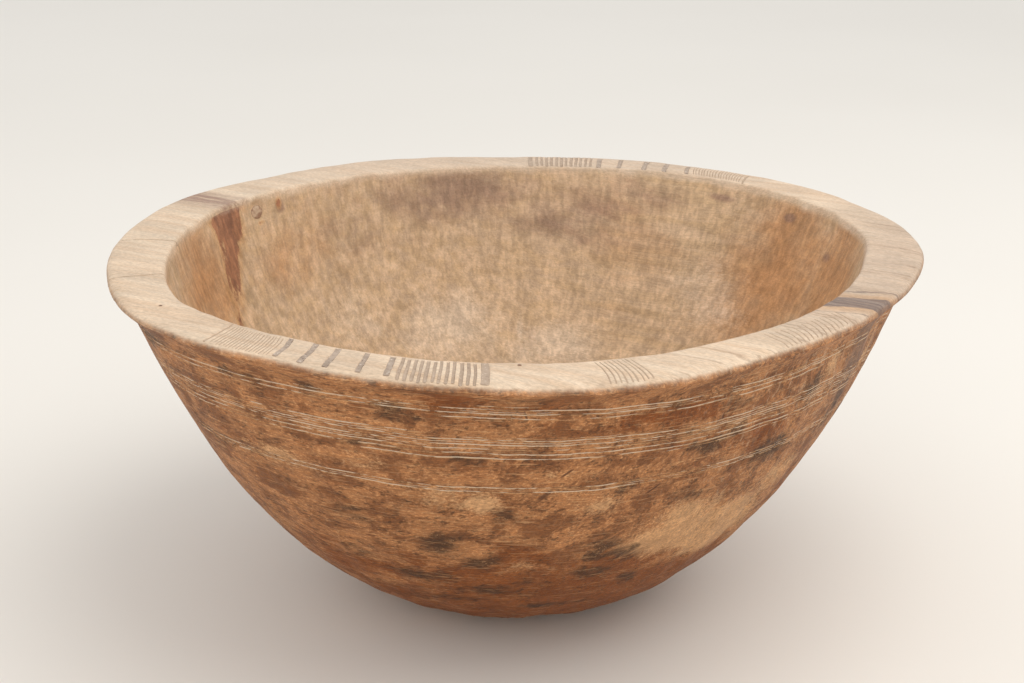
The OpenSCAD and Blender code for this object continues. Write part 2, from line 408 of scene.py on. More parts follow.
def knot_reach(s, turn):
    """Distance from the middle of the dead knot along the hollow's wall, in metres."""
    return np.hypot(turn_gap(turn, KNOT_TURN) * math.radians(1) * HOLLOW_R, s - KNOT_S)


def hollow_point(s, turn, cut):
    """A point in the hollow at arc length s below the rim, cut metres under the surface."""
    c, si = cos_sin(turn)
    r, z, nr, nz = INNER.at(s)
    fall = np.exp(-(BOWL_H - z) / HOLLOW_FALL) * smooth(3 * MM, 40 * MM, r)
    push = fractal(c * r * 24, si * r * 24, z * 18, 14) * 0.8
    push = push + noise(c * r * 90, si * r * 90, z * 60, 15) * 0.22
    push = push * MM * smooth(0, 30 * MM, r) * smooth(0, 6 * MM, s)
    # The wood is sunk round the knot
    push = push - 1.3 * MM * smooth(KNOT_R + 2.6 * MM, KNOT_R + 0.6 * MM, knot_reach(s, turn))
    push = push - cut
    r = r + INNER_WOBBLE(turn) * MM * fall + push * nr
    z = z + LIFT(turn) * MM * np.exp(-(BOWL_H - z) / UNEVEN_FALL)
    return np.stack([r * c, r * si, z + push * nz], 1)


def foot_point(r, turn, cut):
    c, s = cos_sin(turn)
    z = 0.6 * MM * smooth(FOOT_R, 10 * MM, r) + np.abs(noise(c * r * 200, s * r * 200, 3.3, 16)) * 0.12 * MM
    return np.stack([r * c, r * s, z * np.ones(len(turn)) + cut], 1)


# -------- the carved grid
class Row:
    """One ring of the grid: its surface, its place on that surface, and the line it is part of."""

    def __init__(self, kind, place, line=None, share=0.0):
        self.kind, self.place, self.line, self.share = kind, place, line, share

    def radius(self):
        if self.kind == "wall":
            return float(OUTER.at(OUTER.at_drop(self.place))[0])
        if self.kind == "hollow":
            return float(INNER.at(self.place)[0])
        return HOLLOW_R + RIM_W * self.place if self.kind == "rim" else self.place

    def point(self, turn, cut):
        if self.kind == "wall":
            slide = self.line.wander(turn) * MM if self.line else None
            return wall_point(self.place, turn, cut, slide)
        surface = {"rim": rim_point, "hollow": hollow_point, "foot": foot_point}[self.kind]
        return surface(self.place, turn, cut)


def make_rows():
    rows = [Row("foot", r * MM) for r in (4, 14, 26, 36, 42)]
    taken = [(line.drop - 1.4, line.drop + 1.4) for line in LINES]
    rings = []
    for s in np.arange(WALL_STEP / 2, OUTER.s[-1] + 0.1 * MM, WALL_STEP):
        drop = BOWL_H - float(OUTER.at(s)[1])
        if not any(low < drop / MM < high for low, high in taken):
            rings.append(Row("wall", drop))
    for line in LINES:
        for offset, share in LINE_SECTION:
            rings.append(Row("wall", line.drop * MM + offset * line.width, line, share))
    rings.append(Row("wall", EDGE_H + 0.6 * MM))
    rows += sorted(rings, key=lambda row: -row.place)
    lip = [1 - EDGE_H / RIM_W * (1 - math.cos(math.radians(18 * k))) for k in range(6)]
    flat = list(np.linspace(1 - EDGE_H / RIM_W, ROUND_R / RIM_W, 23)[1:])
    mouth = [ROUND_R / RIM_W * (1 - math.sin(math.radians(30 * k))) for k in (1, 2, 3)]
    rows += [Row("rim", max(across, 1e-4)) for across in lip + flat + mouth]
    near = np.arange(1.2, 34, 1.5) * MM
    far = np.arange(36, INNER.s[-1] / MM - 4, 3.0) * MM
    return rows + [Row("hollow", s) for s in np.concatenate([near, far])]


def columns(notches):
    """Directions of the grid's columns, with extra ones in every notch, and the notch of each."""
    plain = np.arange(-180, 180, COLUMN_STEP)
    keep = np.ones(len(plain), bool)
    extra = []
    for index, n in enumerate(notches):
        half = math.degrees(n.width / 2 / MID_R)
        edge = max(0.16 * half, math.degrees(0.1 * MM / MID_R))
        keep &= np.abs(turn_gap(plain, n.turn)) > half + 2.2 * edge
        for share, depth in section_of(n):
            extra.append((n.turn + (half - edge) * share, index, depth))
        for sign in (-1, 1):
            extra.append((n.turn + sign * (half + edge), index, 0.0))
    found = [(t, -1, 0.0) for t in plain[keep]] + extra
    found = sorted(((t + 180) % 360 - 180, i, d) for t, i, d in found)
    clean = [found[0]]
    for item in found[1:]:
        if item[0] - clean[-1][0] > 0.012:
            clean.append(item)
    return clean


def levels(turns):
    """Which columns the rim, the walls and the parts near the axis use."""
    every = np.arange(len(turns))
    plain = np.arange(-180, 180, COLUMN_STEP)
    wall = [int(np.argmin(np.abs(turn_gap(turns, wanted)))) for wanted in plain]
    wall = np.array(sorted(set(wall)))
    return [every, wall, wall[::4], wall[::16]]


def level_of(row):
    if row.kind == "rim":
        return 0
    if row.radius() > 62 * MM:
        return 1
    return 2 if row.radius() > 18 * MM else 3


def lean(kind, place, turns):
    """Columns lean with the notches on the rim and straighten down the walls, in degrees."""
    if kind == "foot":
        return np.zeros(len(turns))
    across = {"rim": place, "wall": 1.0, "hollow": 0.0}[kind]
    fade = 1.0 if kind == "rim" else math.exp(-place / (14 * MM))
    slant = np.degrees(RIM_W * np.tan(np.radians(SLANT(turns))) / MID_R) * (across - 0.5)
    bow = np.degrees(BOW(turns) * MM / MID_R) * (1 - (2 * across - 1) ** 2)
    waver = np.degrees(0.3 * MM / MID_R) * noise(across * 5, turns * 1.5, 0.4, 22)
    return (slant + bow + waver) * fade


def notch_depth(notch, across, turns):
    """Depth of a notch along its length, ragged at both ends."""
    begin = smooth(notch.start - 0.03, notch.start + 0.05, across)
    finish = smooth(notch.end + 0.02, notch.end - 0.06, across)
    rough = 1 + 0.22 * noise(across * 9, turns * 3, 0.5, 21)
    return notch.depth * begin * finish * rough


def blobs(spots, turn, down, radius):
    """Sum of soft spots given as (direction, mm down, mm wide, mm high, strength)."""
    total = np.zeros(len(turn))
    for at, mm, wide, high, strength in spots:
        u = turn_gap(turn, at) * math.radians(1) * radius / (wide * MM)
        v = (down - mm * MM) / (high * MM)
        total = np.maximum(total, strength * np.exp(-(u * u + v * v)))
    return total


# Stains and worn places, outside and in the hollow, with painted bounce light low on the outside's right:
# (direction, mm down, mm wide, mm high, strength)
SOOT_OUT = [
    (-102, 96, 11, 10, 1.0), (-95, 110, 13, 7, 0.9), (-91, 76, 9, 7, 0.8), (-97, 43, 9, 3, 0.7),
    (-62, 45, 14, 5, 0.9), (-57, 42, 8, 7, 0.8), (-74, 100, 12, 9, 0.8), (-75, 118, 15, 6, 0.9),
    (-66, 130, 9, 5, 0.9), (-87, 125, 10, 5, 0.8), (-81, 149, 17, 3, 0.9), (-107, 77, 8, 5, 0.6),
    (-106, 17, 12, 4, 0.8), (-74, 63, 8, 4, 0.6), (-69, 17, 10, 4, 0.7), (-104, 144, 16, 4, 0.8),
    (-117, 85, 14, 6, 0.7), (-129, 76, 12, 7, 0.6), (-129, 15, 22, 4, 0.7), (-104, 23, 16, 4, 0.6),
    (-117, 13, 12, 4, 0.8), (-64, 36, 15, 4, 0.7), (-58, 26, 13, 5, 0.7), (-47, 60, 17, 9, 0.9),
    (-60, 76, 13, 6, 0.6), (-118, 112, 20, 8, 0.6), (-140, 60, 22, 8, 0.6), (-30, 50, 10, 22, 0.7),
    (-20, 75, 14, 16, 0.7), (-42, 30, 9, 12, 0.7), (-88, 8, 20, 3, 0.6), (-112, 40, 14, 6, 0.6),
    (-150, 14, 40, 8, 0.9), (-95, 133, 16, 6, 0.9), (-72, 108, 22, 9, 0.8), (-108, 125, 18, 8, 0.7),
    (20, 40, 30, 12, 0.7), (60, 80, 40, 14, 0.7), (110, 50, 35, 16, 0.7), (150, 90, 40, 14, 0.7),
    (-165, 100, 30, 12, 0.6), (85, 20, 30, 6, 0.6), (175, 30, 30, 7, 0.6),
]
WARM_OUT = [
    (-88, 152, 90, 22, 1.0), (-88, 128, 80, 16, 0.9), (-69, 114, 26, 14, 1.0),
    (-89, 106, 18, 10, 0.8), (-58, 140, 60, 20, 1.0), (-30, 100, 40, 30, 0.6),
    (-125, 130, 60, 22, 0.6), (-66, 24, 44, 9, 0.6), (-52, 48, 26, 12, 0.7), (40, 110, 90, 40, 0.8),
    (140, 120, 90, 40, 0.7), (-95, 12, 40, 6, 0.5),
]
# Pale places on the outside are worn wood, and the strongest ones, low on the right, are painted bounce
# light
PALE_OUT_AND_BOUNCE = [
    (-100, 66, 22, 10, 0.6), (-95, 69, 12, 9, 0.7), (-77, 71, 13, 8, 0.7), (-60, 90, 24, 13, 0.9),
    (-126, 60, 26, 12, 0.5), (-40, 84, 20, 14, 0.7), (-62, 102, 28, 12, 1.2),
    (-50, 106, 28, 18, 1.3), (-88, 112, 9, 5, 0.6), (-150, 30, 30, 12, 0.4), (-112, 50, 16, 8, 0.5),
    (-83, 52, 20, 5, 0.5), (10, 90, 40, 20, 0.5), (-38, 22, 10, 14, 0.6), (-24, 30, 6, 20, 0.6),
]
DARK_IN = [
    (102, 14, 66, 24, 0.85), (78, 26, 60, 26, 0.7), (122, 34, 40, 24, 0.55), (60, 12, 36, 14, 0.6),
    (31, 9, 5, 2.5, 1.0), (48, 8, 12, 3, 1.1), (17, 20, 4, 3, 0.9), (140.5, 7, 4, 5, 1.3),
    (85, 104, 5, 12, 0.6),
]
WARM_IN = [
    (30, 42, 54, 52, 0.85), (8, 40, 46, 56, 0.85), (62, 40, 40, 30, 0.5), (170, 34, 44, 40, 0.75),
    (-150, 40, 60, 50, 0.7), (138, 36, 46, 28, 0.55), (-60, 40, 90, 50, 0.6),
]
PALE_IN = [
    (105, 96, 44, 28, 0.9), (80, 110, 40, 30, 0.8), (130, 84, 34, 24, 0.7), (88, 100, 4, 16, 0.9),
    (150, 110, 40, 30, 0.9), (175, 95, 40, 26, 0.7), (40, 110, 40, 26, 0.5), (45, 68, 40, 30, 0.7),
    (0, 90, 30, 30, 0.5),
]
# Small stains beside the knot, and the dark seam above it
STAIN_IN = [(140.6, 5.5, 3.4, 6, 0.95), (152, 3.0, 12, 3, 1.05), (146, 13.5, 7, 2.5, 0.85)]


def facts_of(row, turn, xyz, groove):
    """What the wood's material needs to know at each point of one ring."""
    n = len(turn)
    blank = np.zeros(n)
    facts = {"groove": groove, "dark": blank, "warm": blank, "pale": blank, "stain": blank - 20}
    if row.kind == "rim":
        facts["edge"] = blank + (1 - row.place) * RIM_W / MM
        facts["mouth"] = blank + row.place * RIM_W / MM
    elif row.kind == "wall":
        facts["edge"] = blank - (row.place - EDGE_H) / MM
        facts["mouth"] = blank + RIM_W / MM
        for name, spots in (("dark", SOOT_OUT), ("warm", WARM_OUT), ("pale", PALE_OUT_AND_BOUNCE)):
            facts[name] = blobs(spots, turn, row.place, row.radius())
    elif row.kind == "foot":
        facts["edge"], facts["mouth"] = blank - 180, blank + RIM_W / MM
        facts["warm"] = blank + 0.6
    else:
        facts["edge"] = blank + RIM_W / MM
        facts["mouth"] = blank - row.place / MM
        for name, spots in (("dark", DARK_IN), ("warm", WARM_IN), ("pale", PALE_IN)):
            facts[name] = blobs(spots, turn, row.place, max(row.radius(), 40 * MM))
        grain = math.radians(GRAIN_TURN)
        side = (xyz[:, 1] * math.cos(grain) - xyz[:, 0] * math.sin(grain)) / MM
        down = (BOWL_H - xyz[:, 2]) / MM
        middle = -14.8 - 0.4 * np.maximum(down - 12, 0)
        wedge = 14.5 * (1 - down / 58) - np.abs(side - middle)
        small = 26 * blobs(STAIN_IN, turn, row.place, max(row.radius(), 40 * MM)) - 20
        facts["stain"] = np.maximum(np.where(xyz[:, 0] < 0, wedge, -20), small)
    return facts


def carve(notches):
    """Vertices, faces and surface attributes of the whole bowl."""
    found = columns(notches)
    turns, owner, share = (np.array([f[k] for f in found]) for k in (0, 1, 2))
    level_sets = levels(turns)
    rows = make_rows()
    points, first, used, facts = [], [], [], []
    count = 0
    for row in rows:
        use = level_sets[level_of(row)]
        leaned = turns[use] + lean(row.kind, row.place, turns[use])
        cut, groove = np.zeros(len(use)), np.zeros(len(use))
        if row.kind == "rim":
            for index in np.unique(owner[use][owner[use] >= 0]):
                pick = owner[use] == index
                depth = notch_depth(notches[index], row.place, turns[use][pick]) * share[use][pick]
                cut[pick] = depth
                groove[pick] = notches[index].tone * depth / notches[index].depth
        if row.line is not None:
            groove = row.line.strength(leaned) * row.share
            cut = groove * row.line.depth
        xyz = row.point(leaned, cut)
        points.append(xyz)
        first.append(count)
        used.append(use)
        facts.append(facts_of(row, leaned, xyz, groove))
        count += len(use)
    faces = []
    for k in range(len(rows) - 1):
        faces += strip(first[k], used[k], first[k + 1], used[k + 1])
    faces.append(list(range(first[0] + len(used[0]) - 1, first[0] - 1, -1)))
    faces.append(list(range(first[-1], first[-1] + len(used[-1]))))
    facts = {name: np.concatenate([f[name] for f in facts]) for name in facts[0]}
    return np.concatenate(points), faces, facts


def strip(low, low_use, high, high_use):
    """Faces between two rings, the finer ring's extra points joining the coarser ring's faces."""
    if len(low_use) == len(high_use):
        n = len(low_use)
        return [[low + i, low + (i + 1) % n, high + (i + 1) % n, high + i] for i in range(n)]
    flip = len(low_use) > len(high_use)
    few, many = (high_use, low_use) if flip else (low_use, high_use)
    few_at, many_at = (high, low) if flip else (low, high)
    where = np.searchsorted(many, few)
    faces = []
    n, m = len(few), len(many)
    for i in range(n):
        a, b = where[i], where[(i + 1) % n]
        if b <= a:
            b += m
        arc = [many_at + j % m for j in range(a, b + 1)]
        face = [few_at + i, few_at + (i + 1) % n] + arc[::-1]
        faces.append(face[::-1] if flip else face)
    return faces


def put_in(name, data):
    """A new object in the scene."""
    thing = bpy.data.objects.new(name, data)
    bpy.context.scene.collection.objects.link(thing)
    return thing


def new_piece(name, points, faces, material, node, facts=None, sharp=40):
    """A mesh piece in place of a CAD node."""
    mesh = bpy.data.meshes.new(name)
    mesh.from_pydata([tuple(p) for p in points], [], faces)
    mesh.validate()
    mesh.polygons.foreach_set("use_smooth", [True] * len(mesh.polygons))
    mesh.set_sharp_from_angle(angle=math.radians(sharp))
    for key, values in (facts or {}).items():
        layer = mesh.attributes.new(key, "FLOAT", "POINT")
        layer.data.foreach_set("value", np.asarray(values, np.float32))
    mesh.materials.append(material)
    mesh.update()
    piece = put_in(name, mesh)
    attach(piece, BODY)
    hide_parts(node)
    return piece


# -------- matter in the cuts
class Solid:
    """Points and faces of one piece, gathered from many small closed bodies."""

    def __init__(self):
        self.points, self.faces, self.count, self.facts = [], [], 0, {}

    def add(self, points, faces):
        self.points.append(points)
        self.faces += [[self.count + i for i in face] for face in faces]
        self.count += len(points)

    def slab(self, top, bottom):
        """A closed body between two grids of the same shape."""
        m, k = top.shape[:2]
        low = m * k
        faces = []
        for i in range(m - 1):
            for j in range(k - 1):
                a, b, c, d = i * k + j, (i + 1) * k + j, (i + 1) * k + j + 1, i * k + j + 1
                faces += [[a, b, c, d], [low + d, low + c, low + b, low + a]]
        ring = [i * k for i in range(m)] + [(m - 1) * k + j for j in range(1, k)]
        ring += [i * k + k - 1 for i in range(m - 2, -1, -1)] + list(range(k - 2, 0, -1))
        for a, b in zip(ring, ring[1:] + ring[:1]):
            faces.append([b, a, low + a, low + b])
        self.add(np.concatenate([top.reshape(-1, 3), bottom.reshape(-1, 3)]), faces)

    def tube(self, rings):
        """A closed body through rings of the same number of points, pinched shut at both ends."""
        n, k = rings.shape[:2]
        faces = [list(range(k)), [(n - 1) * k + j for j in range(k - 1, -1, -1)]]
        for i in range(n - 1):
            for j in range(k):
                a, b = i * k + j, i * k + (j + 1) % k
                faces.append([b, a, a + k, b + k])
        self.add(rings.reshape(-1, 3), faces)

    def piece(self, name, material, node, slot):
        return new_piece(name, np.concatenate(self.points), self.faces, material, node, self.facts)


SUNK = 0.05 * MM


def notch_fill(solid, notch):
    """The grey matter packed into one notch."""
    half = math.degrees(notch.width / 2 / MID_R)
    sides = np.array([-0.9, -0.45, 0, 0.45, 0.9])
    shares = np.interp(sides, *zip(*section_of(notch)))
    tops, bottoms = [], []
    for across in np.linspace(notch.start + 0.02, min(notch.end, 1) - 0.03, 18):
        turn = notch.turn + half * sides
        leaned = turn + lean("rim", across, turn)
        floor = notch_depth(notch, across, turn) * shares + SUNK
        rough = 0.75 + 0.35 * noise(across * 22, turn * 5, 0.2, 31)
        top = np.minimum(np.maximum(floor - notch.fill * rough, 0.08 * MM), floor - 0.02 * MM)
        tops.append(rim_point(across, leaned, top))
        bottoms.append(rim_point(across, leaned, floor))
    solid.slab(np.array(tops), np.array(bottoms))


def line_residue(solid, line):
    """Pale residue along one incised line, in the dashes where it has stayed."""
    turn = np.arange(-179.9, 179.9, 0.25)
    amount = line.chalk(turn)
    stays = amount > 0.12
    edges = np.flatnonzero(np.diff(np.concatenate([[0], stays.astype(int), [0]])))
    for start, stop in zip(edges[::2], edges[1::2]):
        if stop - start < 4:
            continue
        t = turn[start:stop]
        much = amount[start:stop] * smooth(0, 2, np.arange(len(t))) * smooth(0, 2, np.arange(len(t))[::-1])
        much = 0.12 + 0.88 * much
        floor = line.depth * line.strength(t) + SUNK
        top = np.maximum(floor - 0.32 * MM * much, 0.05 * MM)
        slide = line.wander(t) * MM
        ring = []
        for side, deep in ((1, floor), (1, top), (-1, top), (-1, floor)):
            wide = side * (0.1 + 0.2 * much) * line.width * (1.0 if deep is top else 0.8)
            ring.append(wall_point(line.drop * MM + wide, t, deep, slide))
        solid.tube(np.stack(ring, 1))


# The knot's dome: shares of its radius and how far each ring stands out, in mm
KNOT_DOME = (
    (1.02, -1.6), (1.0, -0.4), (0.93, 0.05), (0.75, 0.3), (0.5, 0.4), (0.25, 0.45), (0.04, 0.4),
)
# The same for a pin knot, with the radius in mm
PIN_DOME = ((0.95, -0.5), (0.95, 0.0), (0.75, 0.1), (0.4, 0.15), (0.05, 0.16))


def knot_plug(solid):
    """The dead knot: an uneven domed plug set in its hole in the hollow's wall."""
    c, s = cos_sin(np.arange(0, 360, 12))
    shape = 1 + 0.16 * noise(c * 1.6, s * 1.6, 0.7, 50)
    rings, reach = [], []
    for share, lift in KNOT_DOME:
        r = KNOT_R * share * shape
        turn = KNOT_TURN + np.degrees(r * c * 1.15 / HOLLOW_R)
        bumpy = 0.12 * noise(c * share * 4, s * share * 4, 0.1, 51)
        rings.append(hollow_point(KNOT_S + r * s, turn, -(lift + bumpy) * MM))
        reach.append(np.full(len(c), share))
    solid.tube(np.array(rings)[::-1])
    solid.facts["reach"] = np.concatenate(reach[::-1])


def pin_knots(solid):
    """The two tight pin knots, standing just proud of the rim."""
    angles = np.radians(np.arange(0, 360, 30))
    for turn, inward in zip(PIN_TURNS, PIN_IN):
        across = inward / RIM_W
        rings = []
        for r, lift in PIN_DOME:
            ring = []
            for a in angles:
                at = np.array([turn + math.degrees(r * MM * math.cos(a) / HOLLOW_R)])
                ring.append(rim_point(across + r * MM * math.sin(a) / RIM_W, at, -lift * MM)[0])
            rings.append(ring)
        solid.tube(np.array(rings))
    # As dark all over as the rim of the dead knot
    solid.facts["reach"] = np.full(solid.count, 1.0)


# -------- materials
class Paint:
    """A node material, with the few node types that the bowl needs as methods."""

    def __init__(self, name):
        self.material = bpy.data.materials.new(name)
        self.material.use_nodes = True
        self.nodes = self.material.node_tree.nodes
        self.links = self.material.node_tree.links
        self.shader = self.nodes["Principled BSDF"]
        self.position = self.add("TexCoord").outputs["Object"]

    def add(self, kind, **settings):
        node = self.nodes.new("ShaderNode" + kind)
        for key, value in settings.items():
            setattr(node, key, value)
        return node

    def feed(self, socket, value):
        if isinstance(value, bpy.types.NodeSocket):
            self.links.new(value, socket)
        elif isinstance(value, (tuple, list)) and len(value) == 3 and socket.type == "RGBA":
            socket.default_value = (*value, 1)
        else:
            socket.default_value = value

    def maths(self, kind, a, b=0.0):
        node = self.add("Math", operation=kind)
        for socket, value in zip(node.inputs, (a, b)):
            self.feed(socket, value)
        return node.outputs[0]

    def times(self, a, b):
        return self.maths("MULTIPLY", a, b)

    def plus(self, a, b):
        return self.maths("ADD", a, b)

    def minus(self, a, b):
        return self.maths("SUBTRACT", a, b)

    def size(self, a):
        return self.maths("ABSOLUTE", a)

    def stray(self, source, reach):
        """A noise made to swing about 0, reach wide in all."""
        return self.times(self.minus(source, 0.5), reach)

    def step(self, value, low, high, start=0.0, end=1.0):
        """start up to low, end from high, smooth between."""
        node = self.add("MapRange", interpolation_type="SMOOTHSTEP")
        if low > high:
            low, high, start, end = high, low, end, start
        sockets = ("Value", "From Min", "From Max", "To Min", "To Max")
        for name, x in zip(sockets, (value, low, high, start, end)):
            self.feed(node.inputs[name], x)
        return node.outputs["Result"]

    def mix(self, share, a, b, kind="MIX"):
        node = self.add("Mix", data_type="RGBA", blend_type=kind)
        for index, value in ((0, share), (6, a), (7, b)):
            self.feed(node.inputs[index], value)
        return node.outputs[2]

    def over(self, top, mask, share=1.0):
        """Lay a colour over the one so far where the mask is 1, opaque by its share."""
        self.colour = self.mix(self.times(mask, share), self.colour, top)

    def shade(self, amount, low, high, reach=0.16):
        """The colour so far times low to high, as the amount passes a half by reach."""
        factor = self.step(amount, 0.5 - reach, 0.5 + reach, low, high)
        grey = self.add("CombineColor")
        for socket in grey.inputs:
            self.feed(socket, factor)
        self.colour = self.mix(1.0, self.colour, grey.outputs[0], "MULTIPLY")

    def spread(self, name, noises, low, high):
        """A soft attribute made ragged by noises, each given with its weight."""
        total = self.attribute(name)
        for source, weight in noises:
            total = self.plus(total, self.stray(source, weight))
        return self.step(total, low, high)

    def attribute(self, name):
        return self.add("Attribute", attribute_name=name).outputs["Fac"]

    def turned(self, scale, turn=GRAIN_TURN):
        """The position turned so that X runs along the grain, then scaled on each axis."""
        spin = self.add("Mapping", vector_type="POINT")
        self.feed(spin.inputs["Vector"], self.position)
        spin.inputs["Rotation"].default_value = (0, 0, math.radians(-turn))
        size = self.add("Mapping", vector_type="POINT")
        self.feed(size.inputs["Vector"], spin.outputs[0])
        size.inputs["Scale"].default_value = scale
        return size.outputs[0]

    def noise(self, scale, detail=4.0, rough=0.55, turn=GRAIN_TURN, warp=0.0):
        """Noise from about 0 to 1, with cells 1/scale metres long on each axis."""
        node = self.add("TexNoise")
        self.feed(node.inputs["Vector"], self.turned(scale, turn))
        node.inputs["Scale"].default_value = 1.0
        node.inputs["Detail"].default_value = detail
        node.inputs["Roughness"].default_value = rough
        node.inputs["Distortion"].default_value = warp
        return node.outputs[0]

    def axes(self, turn=GRAIN_TURN):
        node = self.add("SeparateXYZ")
        self.feed(node.inputs[0], self.turned((1, 1, 1), turn))
        return node.outputs

    def finish(self, rough, height, depth_mm):
        self.feed(self.shader.inputs["Base Color"], self.colour)
        self.feed(self.shader.inputs["Roughness"], rough)
        bump_node = self.add("Bump")
        bump_node.inputs["Distance"].default_value = depth_mm * MM
        bump_node.inputs["Strength"].default_value = 1.0
        self.feed(bump_node.inputs["Height"], height)
        self.feed(self.shader.inputs["Normal"], bump_node.outputs[0])
        return self.material


# Base colours, linear: the rim, the outside, cuts, the hollow, fill, residue, knots and floor
# The rim's grey colour is a grey patch of its wood, and also painted shade on the back of the rim
RIM_TAN, RIM_PALE, RIM_GREY_AND_SHADE = (0.60, 0.42, 0.275), (0.70, 0.55, 0.40), (0.50, 0.37, 0.27)
RIM_VEIN, RIM_SMOKE = (0.30, 0.19, 0.12), (0.29, 0.17, 0.12)
HEART, HEART_LIGHT, HEART_EDGE = (0.165, 0.115, 0.095), (0.25, 0.185, 0.15), (0.52, 0.29, 0.14)
HEART_OUTSIDE = (0.17, 0.105, 0.075)
GOLD, UMBER, RED_BROWN = (0.40, 0.170, 0.062), (0.215, 0.080, 0.026), (0.200, 0.054, 0.008)
# The worn pale colour is also used for painted highlights and painted bounce light on the outside
SOOT, WORN_AND_PAINTED_LIGHT = (0.050, 0.022, 0.009), (0.62, 0.35, 0.165)
# The gouge strokes' painted highlight and painted shade
STROKE_HIGHLIGHT, STROKE_SHADE = (0.50, 0.33, 0.20), (0.12, 0.06, 0.032)
# Colours of the cuts: painted shade in the incised lines and notches over the darker brown of cut wood, the
# blade scars' colour, and painted shade in the drying checks
LINE_CUT_AND_SHADE, NOTCH_CUT_AND_SHADE = (0.15, 0.075, 0.035), (0.38, 0.26, 0.18)
SCAR_CUT, CHECK_SHADE = (0.09, 0.032, 0.012), (0.12, 0.07, 0.045)
BEIGE, TAN, HAZE = (0.585, 0.405, 0.255), (0.52, 0.35, 0.20), (0.70, 0.545, 0.40)
HOLLOW_BROWN, HOLLOW_DARK = (0.46, 0.22, 0.088), (0.25, 0.145, 0.10)
STAIN, STAIN_LIGHT, STAIN_GLOW = (0.22, 0.09, 0.05), (0.33, 0.14, 0.07), (0.52, 0.27, 0.10)
FILL_GREY, FILL_BROWN, FILL_FILM = (0.42, 0.32, 0.245), (0.32, 0.24, 0.18), (0.47, 0.335, 0.225)
FILL_PALE, FILL_DARK = (0.60, 0.50, 0.41), (0.20, 0.14, 0.11)
CHALK, CHALK_PALE, CHALK_DIRTY = (0.60, 0.46, 0.32), (0.60, 0.47, 0.35), (0.42, 0.29, 0.19)
KNOT_BROWN, KNOT_PALE, KNOT_BARK = (0.28, 0.155, 0.09), (0.50, 0.35, 0.23), (0.14, 0.065, 0.035)
FLOOR_A, FLOOR_B = (0.78, 0.73, 0.66), (0.80, 0.75, 0.68)

# The heart streak across the right rim: where along the grain its middle crosses the grain's
# axis, how far it strays from that axis per metre, and half its width, in metres
HEART_ALONG, HEART_ASKEW, HEART_HALF = 0.190, 0.33, 0.0082
# Thin dark lines beside it: place across the grain, half width, first place along, opacity
HEART_LINES = ((0.0185, 0.0011, 0.165, 0.6), (-0.0165, 0.0006, 0.160, 0.55))
# Cuts left on the front by a blade: (x, z) of both ends and half the width, in metres
SCARS = (
    ((0.027, 0.139), (0.020, 0.133), 0.0007), ((0.018, 0.127), (0.010, 0.119), 0.0016),
    ((0.0935, 0.159), (0.0925, 0.153), 0.0007), ((0.005, 0.172), (0.007, 0.165), 0.0006),
    ((0.046, 0.115), (0.0445, 0.110), 0.0008), ((0.060, 0.118), (0.068, 0.124), 0.0006),
)
# Fine scratches all over the outside: direction and noise scale
SCRATCHES = ((35, (90, 40, 1500)), (-60, (70, 60, 1300)))
# The hollow's wiping marks, tool strokes, rings and clouds:
# noise scale, detail, roughness, warp, darkest and palest factor, and contrast reach
HOLLOW_SHADES = (
    ((70, 70, 8), 5, 0.6, 0.3, 0.90, 1.07, 0.16),
    ((330, 330, 26), 4, 0.6, 0.2, 0.86, 1.11, 0.13),
    ((14, 14, 260), 4, 0.6, 0.2, 0.95, 1.04, 0.16),
    ((110, 110, 110), 6, 0.7, 0.5, 0.93, 1.06, 0.16),
)
# Fine notches hold only a thin film, so the wood shows through: a word in the node's name, share
THIN_FILLS = (("fan", 0.75), ("small", 0.75), ("comb", 0.4))


class Grain:
    """The wood's fibres and rings, shared by every part of the bowl's surface."""

    def __init__(self, p):
        self.long = p.noise((7, 150, 150), 5, 0.6)
        self.fibre = p.noise((55, 1100, 1100), 4, 0.65)
        self.patch = p.noise((26, 60, 60), 6, 0.62)
        self.broad = p.noise((9, 16, 16), 3, 0.5)
        self.fine = p.noise((420, 900, 900), 3, 0.6)
        self.speck = p.noise((300, 700, 700), 2, 0.5)
        # x along the grain and y across it, in metres; side is measured from the heart streak
        self.x, self.y, self.z = p.axes()
        self.ragged = p.stray(self.long, 0.008)
        askew = p.times(p.minus(self.x, HEART_ALONG), HEART_ASKEW)
        self.side = p.plus(p.minus(self.y, askew), self.ragged)
        self.far_right = p.step(self.x, 0.05, 0.12)


